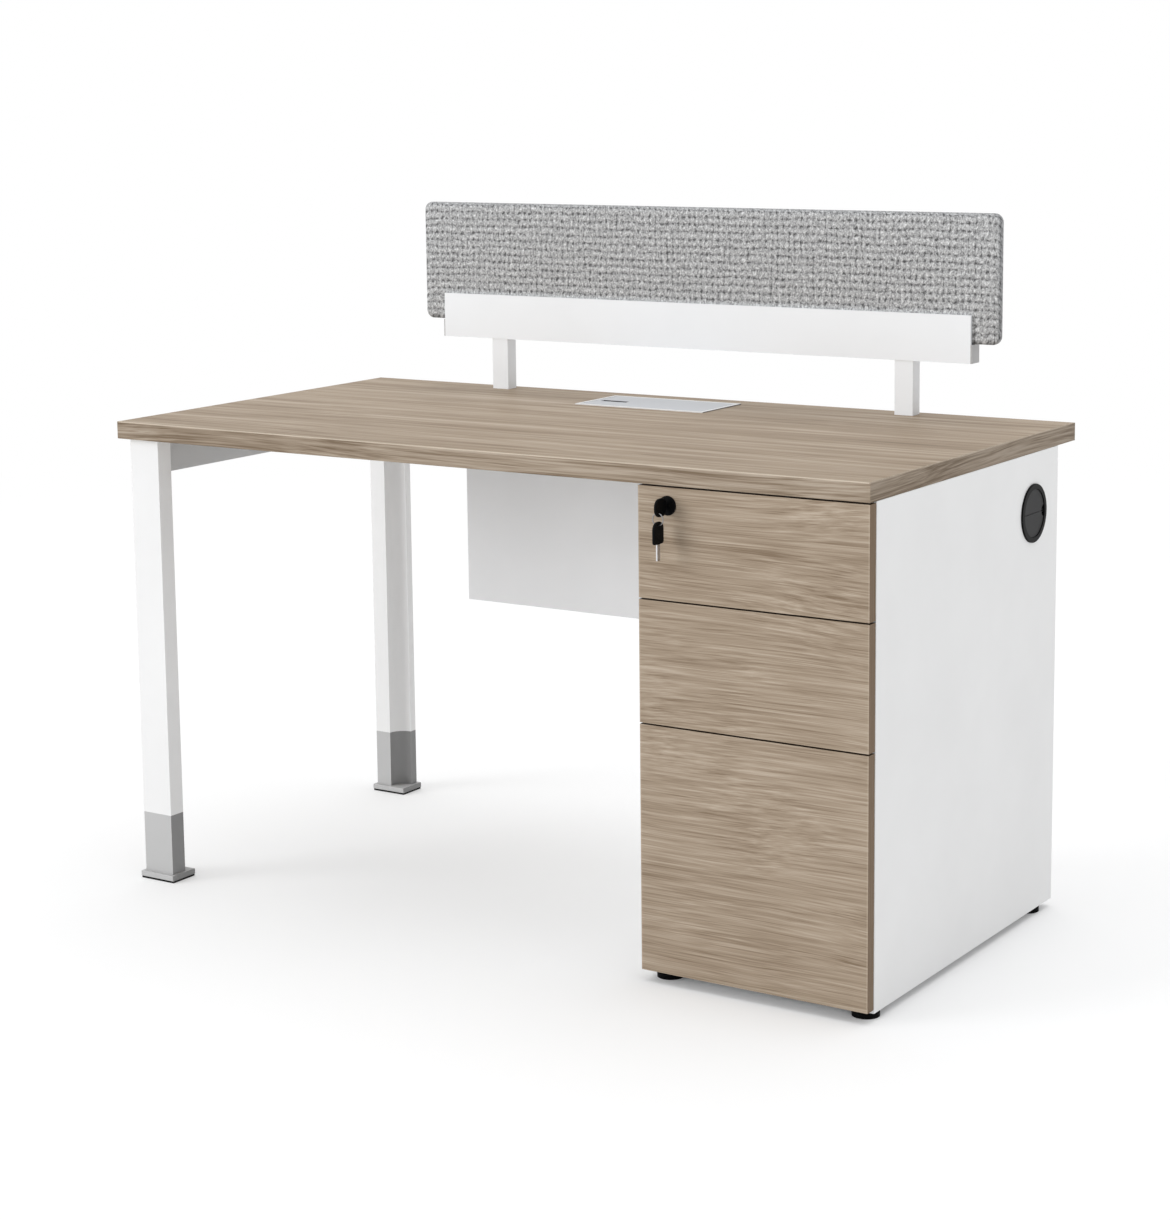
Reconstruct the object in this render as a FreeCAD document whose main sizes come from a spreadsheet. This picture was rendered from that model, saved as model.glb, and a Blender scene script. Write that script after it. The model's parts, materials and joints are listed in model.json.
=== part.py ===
"""Straight office desk: wood-effect top on a left leg frame and a right drawer pedestal, with a
fabric screen, a flip-top cable box and a cable port. Millimetres, +Z up, front towards -Y.

The origin is on the floor under the middle of the desk's box, keys included."""
import FreeCAD, Part
import math
import operator
import os
import Sketcher

V = FreeCAD.Vector

SIZES = {
    # Desktop
    "desk_width": 1350,
    "desk_depth": 700,
    "desk_height": 760,
    "top_thick": 28,
    "band_thick": 2,
    "band_round": 1.4,
    "board_arris": 0.6,
    # Left leg frame
    "leg_width": 58,
    "leg_depth": 42,
    "leg_wall": 2,
    "front_scoop": 12,
    "rear_scoop": 27,
    "plate_inset": 8,
    "plate_overhang": 6,
    "plate_thick": 9,
    "plate_round": 1.2,
    "pad_thick": 3,
    "pad_inset": 1,
    "sleeve_height": 100,
    "side_beam_width": 25,
    "side_beam_height": 60,
    "side_beam_inset": 3,
    "tube_wall": 1.5,
    # Cross rails under the top
    "rail_depth": 20,
    "rail_height": 30,
    "front_rail_setback": 240,
    "end_plate_thick": 3,
    "end_plate_reach": 16,
    "bolt_radius": 3,
    "bolt_head_radius": 5,
    "bolt_head_height": 4,
    "bolt_clear": 0.05,
    # Modesty panel
    "rail_tray_gap": 19.3,
    "modesty_thick": 16,
    "modesty_height": 311,
    "modesty_left_gap": 348,
    "modesty_right_gap": 10,
    # Pedestal case
    "ped_width": 366,
    "ped_overhang": 65,
    "board_thick": 18,
    "case_floor_gap": 12,
    "front_floor_gap": 18,
    "front_thick": 18,
    "front_gap": 2,
    "front_stand_off": 2,
    "middle_front_height": 180,
    "upper_front_height": 162,
    "lip_height": 16,
    "lip_thick": 2,
    "lip_flange": 50,
    # Drawer boxes
    "drawer_rear_gap": 149,
    "drawer_board": 12,
    "drawer_floor": 5,
    "drawer_floor_raise": 8,
    "box_raise": 18,
    "upper_box_drop": 43,
    "middle_box_drop": 41,
    "lower_box_drop": 97,
    # Drawer runners
    "runner_space": 12.7,
    "runner_height": 45,
    "runner_wall": 1.2,
    "runner_flange": 9.5,
    "runner_lift": 40,
    "ball_gap": 0.4,
    # Levelling glides
    "glide_side_inset": 24,
    "glide_end_inset": 42,
    "glide_radius": 20,
    "glide_thick": 8,
    "glide_round": 2,
    "neck_radius": 8,
    "stud_radius": 4,
    "stud_length": 14,
    "stud_clear": 0.05,
    # Drawer lock
    "lock_inset": 49,
    "lock_drop": 26,
    "escutcheon_radius": 14,
    "escutcheon_thick": 2.5,
    "escutcheon_round": 1,
    "barrel_radius": 9,
    "barrel_clear": 0.05,
    "cam_clear": 1,
    "plug_radius": 6,
    "plug_clear": 0.05,
    "cam_thick": 2.5,
    "cam_width": 9,
    "cam_length": 22,
    # Keys and their ring
    "bow_length": 30,
    "bow_height": 26,
    "bow_thick": 4,
    "bow_corner": 11.5,
    "bow_round": 1.2,
    "bow_gap": 2,
    "spare_bow_length": 32,
    "spare_corner": 4,
    "blade_width": 7.5,
    "blade_thick": 2.2,
    "blade_length": 23.5,
    "blade_clear": 0.1,
    "ring_hole_radius": 1.5,
    "ring_hole_inset": 5.5,
    "ring_hole_reach": 22,
    "ring_radius": 8.5,
    "ring_wire": 0.8,
    # Flip-top cable box
    "cable_width": 246,
    "cable_depth": 126,
    "cable_setback": 45,
    "cable_shift": 18,
    "cable_rim": 6,
    "cable_rim_thick": 1.5,
    "cable_skirt": 2,
    "cable_skirt_depth": 20,
    "cable_ledge": 4,
    "cable_cut_gap": 0.5,
    "lid_thick": 3,
    "lid_gap": 1,
    "lid_pin_radius": 1,
    "lid_pin_length": 1.5,
    "lid_pin_clear": 0.05,
    "lid_pin_inset": 4,
    "lid_slot_length": 50,
    "lid_slot_width": 12,
    "lid_slot_side": 11,
    "lid_slot_back": 64,
    "tray_depth": 60,
    "tray_wall": 1.2,
    "tray_flange": 14,
    # Cable port in the pedestal's side
    "port_rear_inset": 92,
    "port_drop": 92,
    "port_rim_radius": 45,
    "port_rim_thick": 3,
    "port_rim_round": 1,
    "port_sleeve_radius": 40,
    "port_sleeve_wall": 3,
    "port_clear": 0.05,
    "flap_recess": 1.5,
    "flap_thick": 2,
    "flap_gap": 0.4,
    "flap_pin_offset": 1.5,
    "flap_pin_radius": 0.8,
    "flap_pin_length": 1.6,
    "flap_pin_clear": 0.05,
    "rear_notch_radius": 9,
    "front_notch_radius": 3.5,
    # Divider
    "divider_shift": 12,
    "post_width": 32,
    "post_depth": 25,
    "post_wall": 2,
    "post_foot": 6,
    "post_spacing": 780,
    "post_setback": 45,
    "post_height": 88,
    "post_bolt_radius": 4,
    "post_bolt_clear": 0.05,
    "washer_radius": 12,
    "washer_thick": 2,
    "screen_beam_length": 1012,
    "screen_beam_height": 76,
    "screen_beam_depth": 29,
    "screen_beam_wall": 2,
    "slot_depth": 46,
    "slot_clear": 0.3,
    "cap_thick": 2,
    "screen_width": 1104,
    "screen_height": 205,
    "screen_thick": 19,
    "screen_corner": 14,
    "screen_round": 6.5,
    # Extra length of every through cut
    "overrun": 5,
}

ARITHMETIC = {"+": operator.add, "-": operator.sub, "*": operator.mul, "/": operator.truediv}


class Size:
    """A length, as its value and as the sheet formula that gives it."""

    def __init__(self, value, formula):
        self.value = value
        self.formula = formula

    def __add__(self, other):
        return combine(self, "+", other)

    def __radd__(self, other):
        return combine(other, "+", self)

    def __sub__(self, other):
        return combine(self, "-", other)

    def __rsub__(self, other):
        return combine(other, "-", self)

    def __mul__(self, other):
        return combine(self, "*", other)

    def __rmul__(self, other):
        return combine(other, "*", self)

    def __truediv__(self, other):
        return combine(self, "/", other)

    def __neg__(self):
        return combine(0, "-", self)


def value_of(size):
    return size.value if isinstance(size, Size) else size


def formula_of(size):
    return size.formula if isinstance(size, Size) else str(size)


def combine(first, sign, second):
    value = ARITHMETIC[sign](value_of(first), value_of(second))
    return Size(value, f"({formula_of(first)} {sign} {formula_of(second)})")


def root(size):
    return Size(math.sqrt(size.value), f"sqrt({size.formula})")


doc = FreeCAD.newDocument("desk")
sheet = doc.addObject("Spreadsheet::Sheet", "sizes")


def read_sizes():
    """Writes the sizes into the sheet and gives them back as attributes of one object."""

    class Named:
        pass

    named = Named()
    for row, (name, value) in enumerate(SIZES.items(), start=1):
        sheet.set(f"A{row}", name)
        sheet.set(f"B{row}", str(value))
        sheet.setAlias(f"B{row}", name)
        setattr(named, name, Size(value, f"sizes.{name}"))
    return named


s = read_sizes()
doc.recompute()

# Main planes of the desk
left = -s.desk_width / 2
right = s.desk_width / 2
key_reach = s.escutcheon_thick + s.bow_gap + s.ring_hole_reach + s.bow_height / 2
front = -(s.desk_depth - key_reach) / 2
rear = front + s.desk_depth
under = s.desk_height - s.top_thick
ped_left = right - s.ped_width
ped_inner_left = ped_left + s.board_thick
ped_inner_right = right - s.board_thick
ped_inner_width = s.ped_width - 2 * s.board_thick
case_front = front + s.front_thick + s.front_stand_off
case_rear = rear - s.ped_overhang
box_front = front + s.front_thick
drawer_length = case_rear - s.board_thick - s.drawer_rear_gap - box_front

parts = []

TURNS = {
    "x": FreeCAD.Rotation(V(0, 1, 0), 90),
    "y": FreeCAD.Rotation(V(1, 0, 0), -90),
    "z": FreeCAD.Rotation(),
}


def tie(thing, path, size):
    """Binds a property to the size's formula."""
    if isinstance(size, Size):
        thing.setExpression(path, size.formula)


def stand(thing, corner):
    for axis, size in zip("xyz", corner):
        tie(thing, f"Placement.Base.{axis}", size)


def new_body(label, corner=(0, 0, 0)):
    body = doc.addObject("PartDesign::Body", label)
    body.Label = label
    stand(body, corner)
    return body


def keep(thing, label=None):
    """Lists a finished piece as a sub-part."""
    if label:
        thing.Label = label
    parts.append(thing)
    return thing


def group(label, members):
    """Separate like pieces that share one sub-part."""
    compound = doc.addObject("Part::Compound", label)
    compound.Links = members
    return keep(compound, label)


def box_feature(body, kind, corner, size):
    feature = body.newObject(f"PartDesign::{kind}Box", f"{body.Name}_{kind}Box")
    for path, length in zip(("Length", "Width", "Height"), size):
        tie(feature, path, length)
    stand(feature, corner)
    return feature


def add_box(body, corner, size):
    return box_feature(body, "Additive", corner, size)


def cut_box(body, corner, size):
    return box_feature(body, "Subtractive", corner, size)


def rod_feature(body, kind, axis, start, radius, length):
    feature = body.newObject(f"PartDesign::{kind}Cylinder", f"{body.Name}_{kind}Rod")
    feature.Placement = FreeCAD.Placement(V(), TURNS[axis])
    tie(feature, "Radius", radius)
    tie(feature, "Height", length)
    stand(feature, start)
    return feature


def add_rod(body, axis, start, radius, length):
    return rod_feature(body, "Additive", axis, start, radius, length)


def cut_rod(body, axis, start, radius, length):
    return rod_feature(body, "Subtractive", axis, start, radius, length)


def round_edges(body, radius, test=None):
    """Fillets the edges of the body's tip that pass the test, or all of them."""
    doc.recompute()
    base = body.Tip
    fillet = body.newObject("PartDesign::Fillet", f"{body.Name}_Fillet")
    names = [f"Edge{i}" for i, edge in enumerate(base.Shape.Edges, start=1) if test is None or test(edge)]
    fillet.Base = (base, names)
    tie(fillet, "Radius", radius)
    return fillet


def along(axis):
    """Test for straight edges that run along an axis."""
    return lambda edge: abs(abs(edge.tangentAt(edge.FirstParameter).dot(axis)) - 1) < 1e-6


def rim_at(axis, place):
    """Test for edges that lie in the plane at a place along an axis, in the body's own frame."""
    level = value_of(place)
    return lambda edge: all(abs(vertex.Point.dot(axis) - level) < 1e-4 for vertex in edge.Vertexes)


def sketch_on(body, role):
    plane = next(item for item in body.Origin.OriginFeatures if item.Role == role)
    sketch = body.newObject("Sketcher::SketchObject", f"{body.Name}_Sketch")
    sketch.AttachmentSupport = (plane, [""])
    sketch.MapMode = "FlatFace"
    return sketch


def outline(sketch, corners):
    """Closed outline through corners (x, y) or (x, y, arc). An arc is (centre x, centre y, radius, sense),
    for a round run from that corner to the next; sense is 1 for anticlockwise and -1 for clockwise."""
    first = sketch.GeometryCount
    count = len(corners)
    starts = []
    for index, corner in enumerate(corners):
        here = V(value_of(corner[0]), value_of(corner[1]), 0)
        following = corners[(index + 1) % count]
        there = V(value_of(following[0]), value_of(following[1]), 0)
        if len(corner) == 2:
            sketch.addGeometry(Part.LineSegment(here, there), False)
            starts.append((first + index, 1, 2))
        else:
            centre = V(value_of(corner[2][0]), value_of(corner[2][1]), 0)
            circle = Part.Circle(centre, V(0, 0, 1), value_of(corner[2][2]))
            angles = [math.atan2(point.y - centre.y, point.x - centre.x) for point in (here, there)]
            forward = corner[2][3] > 0
            ends = angles if forward else angles[::-1]
            sketch.addGeometry(Part.ArcOfCircle(circle, *ends), False)
            starts.append((first + index, 1, 2) if forward else (first + index, 2, 1))
    for index, corner in enumerate(corners):
        geometry, start, _ = starts[index]
        before, _, end = starts[index - 1]
        sketch.addConstraint(Sketcher.Constraint("Coincident", before, end, geometry, start))
        for kind, size in zip(("DistanceX", "DistanceY"), corner):
            distance = Sketcher.Constraint(kind, -1, 1, geometry, start, value_of(size))
            number = sketch.addConstraint(distance)
            tie(sketch, f"Constraints[{number}]", size)
        if len(corner) == 3:
            radius = corner[2][2]
            number = sketch.addConstraint(Sketcher.Constraint("Radius", geometry, value_of(radius)))
            tie(sketch, f"Constraints[{number}]", radius)


def rectangle(x, y, width, height):
    return [(x, y), (x + width, y), (x + width, y + height), (x, y + height)]


def pad(body, role, loops, length):
    """Extrudes closed loops, drawn on an origin plane, along that plane's normal."""
    sketch = sketch_on(body, role)
    for loop in loops:
        outline(sketch, loop)
    feature = body.newObject("PartDesign::Pad", f"{body.Name}_Pad")
    feature.Profile = sketch
    tie(feature, "Length", length)
    return feature


def board(label, corner, size):
    """A flat board with lightly eased edges."""
    body = new_body(label, corner)
    add_box(body, (0, 0, 0), size)
    round_edges(body, s.board_arris)
    return body


# Cable box places, shared by the top's cut-out, the frame, the lid and the tray
cable_x = -s.cable_shift - s.cable_width / 2
cable_y = rear - s.cable_setback - s.cable_depth
lid_pocket = s.cable_rim
skirt_inset = s.cable_rim - s.cable_skirt
cut_inset = skirt_inset - s.cable_cut_gap
tray_x = cable_x + cut_inset - s.tray_wall
tray_y = cable_y + cut_inset - s.tray_wall
modesty_rear = tray_y - s.rail_tray_gap - s.rail_depth
modesty_front = modesty_rear - s.modesty_thick
lid_inset = s.cable_rim + s.lid_gap
post_y = rear - s.post_setback
post_places = {"left": s.divider_shift - s.post_spacing / 2, "right": s.divider_shift + s.post_spacing / 2}


def make_desktop():
    body = new_body("desktop", (left + s.band_thick, front + s.band_thick, under))
    inner_x = -s.band_thick - left
    inner_y = -s.band_thick - front
    core = (s.desk_width - 2 * s.band_thick, s.desk_depth - 2 * s.band_thick, s.top_thick)
    add_box(body, (0, 0, 0), core)
    cut_box(
        body,
        (cable_x + cut_inset + inner_x, cable_y + cut_inset + inner_y, -s.overrun),
        (s.cable_width - 2 * cut_inset, s.cable_depth - 2 * cut_inset, s.top_thick + 2 * s.overrun),
    )
    for x in post_places.values():
        start = (x + inner_x, post_y + s.post_depth / 2 + inner_y, -s.overrun)
        cut_rod(body, "z", start, s.post_bolt_radius + s.post_bolt_clear, s.top_thick + 2 * s.overrun)
    keep(body)


def make_edge_bands():
    """Four strips round the top, with their outer edges rounded."""
    side_length = s.desk_depth - 2 * s.band_thick
    long_size = (s.desk_width, s.band_thick, s.top_thick)
    short_size = (s.band_thick, side_length, s.top_thick)
    side_y = front + s.band_thick
    strips = {
        "front": ((left, front, under), long_size, V(0, 1, 0), 0),
        "rear": ((left, rear - s.band_thick, under), long_size, V(0, 1, 0), s.band_thick),
        "left": ((left, side_y, under), short_size, V(1, 0, 0), 0),
        "right": ((right - s.band_thick, side_y, under), short_size, V(1, 0, 0), s.band_thick),
    }
    members = []
    for name, (corner, size, normal, outside) in strips.items():
        body = new_body(f"edge_band_{name}", corner)
        add_box(body, (0, 0, 0), size)
        lies_outside = rim_at(normal, outside)
        runs_up = along(V(0, 0, 1))
        round_edges(body, s.band_round, lambda edge: lies_outside(edge) and not runs_up(edge))
        members.append(body)
    group("edge_bands", members)


def leg_loop(inset, end):
    """Section of a leg: a rectangle whose inner corner is scooped out, drawn inset by a wall."""
    wide = s.leg_width - inset
    deep = s.leg_depth - inset
    reach = (s.front_scoop if end == "front" else s.rear_scoop) + inset
    run = root(reach * reach - inset * inset) if value_of(inset) else reach
    near = s.leg_width - run
    if end == "front":
        arc = (s.leg_width, s.leg_depth, reach, -1)
        return [(inset, inset), (wide, inset), (wide, s.leg_depth - run, arc), (near, deep), (inset, deep)]
    arc = (s.leg_width, 0, reach, -1)
    return [(inset, inset), (near, inset, arc), (wide, run), (wide, deep), (inset, deep)]


leg_x = left + s.plate_inset + s.plate_overhang
leg_places = {"front": front + s.plate_inset + s.plate_overhang,
              "rear": rear - s.plate_inset - s.plate_overhang - s.leg_depth}
plate_top = s.pad_thick + s.plate_thick
sleeve_top = plate_top + s.sleeve_height


def make_legs():
    """Two legs with their foot sleeves, plates and rubber pads."""
    plate_width = s.leg_width + 2 * s.plate_overhang
    plate_depth = s.leg_depth + 2 * s.plate_overhang
    pads = []
    for name, y in leg_places.items():
        loops = [leg_loop(0, name), leg_loop(s.leg_wall, name)]
        leg = new_body(f"{name}_leg", (leg_x, y, sleeve_top))
        pad(leg, "XY_Plane", loops, under - sleeve_top)
        keep(leg)
        sleeve = new_body(f"{name}_foot_sleeve", (leg_x, y, plate_top))
        pad(sleeve, "XY_Plane", loops, s.sleeve_height)
        keep(sleeve)
        plate_corner = (leg_x - s.plate_overhang, y - s.plate_overhang, s.pad_thick)
        plate = new_body(f"{name}_foot_plate", plate_corner)
        add_box(plate, (0, 0, 0), (plate_width, plate_depth, s.plate_thick))
        round_edges(plate, s.plate_round)
        keep(plate)
        pad_corner = (plate_corner[0] + s.pad_inset, plate_corner[1] + s.pad_inset, 0)
        pad_size = (plate_width - 2 * s.pad_inset, plate_depth - 2 * s.pad_inset, s.pad_thick)
        rubber = new_body(f"{name}_foot_pad", pad_corner)
        add_box(rubber, (0, 0, 0), pad_size)
        pads.append(rubber)
    group("foot_pads", pads)


beam_x = leg_x + s.side_beam_inset
beam_inner = beam_x + s.side_beam_width


def make_side_beam():
    """Rectangular tube that joins the two legs under the top."""
    start = leg_places["front"] + s.leg_depth
    body = new_body("side_beam", (beam_x, start, under - s.side_beam_height))
    length = leg_places["rear"] - start
    add_box(body, (0, 0, 0), (s.side_beam_width, length, s.side_beam_height))
    inner_width = s.side_beam_width - 2 * s.tube_wall
    inner_height = s.side_beam_height - 2 * s.tube_wall
    hollow = (inner_width, length + 2 * s.overrun, inner_height)
    cut_box(body, (s.tube_wall, -s.overrun, s.tube_wall), hollow)
    keep(body)


rail_places = {"front": front + s.front_rail_setback, "rear": modesty_rear}
rail_length = ped_left - beam_inner
bolt_rows = (-s.end_plate_reach / 2, s.rail_depth + s.end_plate_reach / 2)


def make_cross_rails():
    """Two tubes with welded end plates, from the side beam to the pedestal."""
    plate_size = (s.end_plate_thick, s.rail_depth + 2 * s.end_plate_reach, s.rail_height)
    plate_x = (0, rail_length - s.end_plate_thick)
    for name, y in rail_places.items():
        body = new_body(f"{name}_cross_rail", (beam_inner, y, under - s.rail_height))
        add_box(body, (0, 0, 0), (rail_length, s.rail_depth, s.rail_height))
        inner_depth = s.rail_depth - 2 * s.tube_wall
        inner_height = s.rail_height - 2 * s.tube_wall
        hollow = (rail_length + 2 * s.overrun, inner_depth, inner_height)
        cut_box(body, (-s.overrun, s.tube_wall, s.tube_wall), hollow)
        for x in plate_x:
            add_box(body, (x, -s.end_plate_reach, 0), plate_size)
            for row in bolt_rows:
                start = (x - s.overrun, row, s.rail_height / 2)
                cut_rod(body, "x", start, s.bolt_radius + s.bolt_clear, s.end_plate_thick + 2 * s.overrun)
        keep(body)


def make_bolts():
    """Bolts of the end plates, and the bolts and washers that hold the posts from below."""
    members = []
    for name, y in rail_places.items():
        for end, face, heading in (("beam", beam_inner, 1), ("case", ped_left, -1)):
            for number, row in enumerate(bolt_rows, start=1):
                body = new_body(f"{name}_{end}_bolt_{number}", (face, y + row, under - s.rail_height / 2))
                reach = s.end_plate_thick + s.bolt_head_height
                if heading > 0:
                    add_rod(body, "x", (0, 0, 0), s.bolt_radius, s.end_plate_thick)
                    add_rod(body, "x", (s.end_plate_thick, 0, 0), s.bolt_head_radius, s.bolt_head_height)
                else:
                    add_rod(body, "x", (-s.end_plate_thick, 0, 0), s.bolt_radius, s.end_plate_thick)
                    add_rod(body, "x", (-reach, 0, 0), s.bolt_head_radius, s.bolt_head_height)
                members.append(body)
    for name, x in post_places.items():
        body = new_body(f"{name}_post_bolt", (x, post_y + s.post_depth / 2, under))
        add_rod(body, "z", (0, 0, -s.washer_thick), s.washer_radius, s.washer_thick)
        add_rod(body, "z", (0, 0, 0), s.post_bolt_radius, s.top_thick + s.post_foot)
        head_radius = s.post_bolt_radius + s.bolt_head_height / 2
        add_rod(body, "z", (0, 0, -s.washer_thick - s.bolt_head_height), head_radius, s.bolt_head_height)
        members.append(body)
    group("assembly_bolts", members)


def make_modesty_panel():
    x = left + s.modesty_left_gap
    width = ped_left - s.modesty_right_gap - x
    keep(board("modesty_panel", (x, modesty_front, under - s.modesty_height),
               (width, s.modesty_thick, s.modesty_height)))


port_y = case_rear - s.port_rear_inset
port_z = under - s.port_drop
glide_x = {"left": ped_left + s.glide_side_inset, "right": right - s.glide_side_inset}
glide_y = {"front": front + s.glide_end_inset, "rear": case_rear - s.glide_end_inset}


def make_case():
    """Pedestal boards: two sides, back and bottom."""
    depth = case_rear - case_front
    height = under - s.case_floor_gap
    side_size = (s.board_thick, depth, height)
    keep(board("left_side_panel", (ped_left, case_front, s.case_floor_gap), side_size))
    side = board("right_side_panel", (ped_inner_right, case_front, s.case_floor_gap), side_size)
    hole = (-s.overrun, port_y - case_front, port_z - s.case_floor_gap)
    cut_rod(side, "x", hole, s.port_sleeve_radius + s.port_clear, s.board_thick + 2 * s.overrun)
    keep(side)
    back_y = case_rear - s.board_thick
    bottom_top = s.case_floor_gap + s.board_thick
    keep(board("back_panel", (ped_inner_left, back_y, bottom_top),
               (ped_inner_width, s.board_thick, under - bottom_top)))
    bottom = board("bottom_panel", (ped_inner_left, case_front, s.case_floor_gap),
                   (ped_inner_width, depth, s.board_thick))
    for x in glide_x.values():
        for y in glide_y.values():
            start = (x - ped_inner_left, y - case_front, -s.overrun)
            cut_rod(bottom, "z", start, s.stud_radius + s.stud_clear, s.board_thick + 2 * s.overrun)
    keep(bottom)


def make_top_rail():
    """Folded steel angle across the front, whose lip the lock's cam turns up behind."""
    body = new_body("front_top_rail", (ped_inner_left, case_front, under))
    add_box(body, (0, 0, -s.lip_thick), (ped_inner_width, s.lip_flange, s.lip_thick))
    add_box(body, (0, 0, -s.lip_height), (ped_inner_width, s.lip_thick, s.lip_height))
    keep(body)


def make_glides():
    """Round levelling feet on threaded studs, screwed up into the bottom board."""
    for end, y in glide_y.items():
        for side, x in glide_x.items():
            body = new_body(f"{end}_{side}_glide", (x, y, 0))
            add_rod(body, "z", (0, 0, 0), s.glide_radius, s.glide_thick)
            round_edges(body, s.glide_round, rim_at(V(0, 0, 1), s.glide_thick))
            add_rod(body, "z", (0, 0, s.glide_thick), s.neck_radius, s.case_floor_gap - s.glide_thick)
            add_rod(body, "z", (0, 0, s.case_floor_gap), s.stud_radius, s.stud_length)
            keep(body)


upper_front_z = under - s.front_gap - s.upper_front_height
middle_front_z = upper_front_z - s.front_gap - s.middle_front_height
lower_front_z = s.front_floor_gap
lower_front_height = middle_front_z - s.front_gap - lower_front_z
DRAWERS = {
    "upper": (upper_front_z, s.upper_front_height, s.upper_box_drop),
    "middle": (middle_front_z, s.middle_front_height, s.middle_box_drop),
    "lower": (lower_front_z, lower_front_height, s.lower_box_drop),
}
lock_x = ped_left + s.lock_inset
lock_z = upper_front_z + s.upper_front_height - s.lock_drop


def make_drawer(name, front_z, front_height, box_drop):
    """A drawer front with its box of sides, back and floor."""
    face_size = (s.ped_width, s.front_thick, front_height)
    face = board(f"{name}_drawer_front", (ped_left, front, front_z), face_size)
    if name == "upper":
        hole = (lock_x - ped_left, -s.overrun, lock_z - front_z)
        cut_rod(face, "y", hole, s.barrel_radius + s.barrel_clear, s.front_thick + 2 * s.overrun)
    keep(face)
    box_z = front_z + s.box_raise
    box_height = front_height - s.box_raise - box_drop
    side_x = {"left": ped_inner_left + s.runner_space,
              "right": ped_inner_right - s.runner_space - s.drawer_board}
    side_size = (s.drawer_board, drawer_length, box_height)
    sides = []
    for side, x in side_x.items():
        sides.append(board(f"{name}_drawer_{side}_side", (x, box_front, box_z), side_size))
    group(f"{name}_drawer_sides", sides)
    inner_x = side_x["left"] + s.drawer_board
    inner_width = side_x["right"] - inner_x
    back_y = box_front + drawer_length - s.drawer_board
    back_size = (inner_width, s.drawer_board, box_height)
    keep(board(f"{name}_drawer_back", (inner_x, back_y, box_z), back_size))
    floor = new_body(f"{name}_drawer_bottom", (inner_x, box_front, box_z + s.drawer_floor_raise))
    add_box(floor, (0, 0, 0), (inner_width, back_y - box_front, s.drawer_floor))
    keep(floor)


def channel(x, z, width, height, opens_right):
    """C section of a runner member, drawn across the runner with its web on one side."""
    wall = s.runner_wall
    if opens_right:
        return [(x, z), (x + width, z), (x + width, z + wall), (x + wall, z + wall),
                (x + wall, z + height - wall), (x + width, z + height - wall),
                (x + width, z + height), (x, z + height)]
    return [(x, z), (x + width, z), (x + width, z + height), (x, z + height), (x, z + height - wall),
            (x + width - wall, z + height - wall), (x + width - wall, z + wall), (x, z + wall)]


def make_runners(name, front_z):
    """Three nested channels a side: one on the case, one on the drawer and one that runs between."""
    step = s.runner_wall + s.ball_gap
    bottom = front_z + s.box_raise + s.runner_lift - s.runner_height / 2
    web = s.runner_space - 2 * step
    sections = {
        "case": (0, 0, s.runner_flange, True),
        "middle": (step, step, s.runner_flange, True),
        "drawer": (2 * step, 2 * step, web, False),
    }
    for member, (x, rise, width, opens_inward) in sections.items():
        pair = []
        for side in ("left", "right"):
            wall_x = ped_inner_left if side == "left" else ped_inner_right
            body = new_body(f"{name}_{member}_runner_{side}", (wall_x, case_front, bottom))
            mirrored = side == "right"
            near = -x - width if mirrored else x
            loop = channel(near, rise, width, s.runner_height - 2 * rise, opens_inward != mirrored)
            feature = pad(body, "XZ_Plane", [loop], drawer_length - s.front_stand_off)
            feature.Reversed = True
            pair.append(body)
        group(f"{name}_{member}_runners", pair)


cam_y = s.front_thick + s.front_stand_off + s.lip_thick + s.cam_clear
bow_y = -s.escutcheon_thick - s.bow_gap - s.bow_length
ring_hole_y = -s.escutcheon_thick - s.bow_gap - s.ring_hole_reach
ring_hole_z = -s.bow_height / 2 + s.ring_hole_inset
slot_width = s.blade_width + 2 * s.blade_clear
slot_thick = s.blade_thick + 2 * s.blade_clear


def make_lock():
    """Cam lock of the top drawer: barrel, turning plug with its cam, and the key that stands in it."""
    place = (lock_x, front, lock_z)
    barrel = new_body("lock_barrel", place)
    add_rod(barrel, "y", (0, -s.escutcheon_thick, 0), s.escutcheon_radius, s.escutcheon_thick)
    round_edges(barrel, s.escutcheon_round, rim_at(V(0, 1, 0), -s.escutcheon_thick))
    add_rod(barrel, "y", (0, 0, 0), s.barrel_radius, cam_y)
    bore = cam_y + s.escutcheon_thick + 2 * s.overrun
    cut_rod(barrel, "y", (0, -s.escutcheon_thick - s.overrun, 0), s.plug_radius + s.plug_clear, bore)
    keep(barrel)
    plug = new_body("lock_plug", place)
    plug_length = s.escutcheon_thick + cam_y + s.cam_thick
    add_rod(plug, "y", (0, -s.escutcheon_thick, 0), s.plug_radius, plug_length)
    add_box(plug, (-s.cam_length, cam_y, -s.cam_width / 2), (s.cam_length, s.cam_thick, s.cam_width))
    cut_box(plug, (-slot_thick / 2, -s.escutcheon_thick - s.overrun, -slot_width / 2),
            (slot_thick, s.blade_length + s.overrun + s.blade_clear - s.bow_gap, slot_width))
    keep(plug)
    key = new_body("lock_key", place)
    add_box(key, (-s.bow_thick / 2, bow_y, -s.bow_height / 2), (s.bow_thick, s.bow_length, s.bow_height))
    round_edges(key, s.bow_corner, along(V(1, 0, 0)))
    round_edges(key, s.bow_round)
    cut_rod(key, "x", (-s.bow_thick / 2 - s.overrun, ring_hole_y, ring_hole_z), s.ring_hole_radius,
            s.bow_thick + 2 * s.overrun)
    add_box(key, (-s.blade_thick / 2, bow_y + s.bow_length, -s.blade_width / 2),
            (s.blade_thick, s.blade_length, s.blade_width))
    keep(key)


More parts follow.
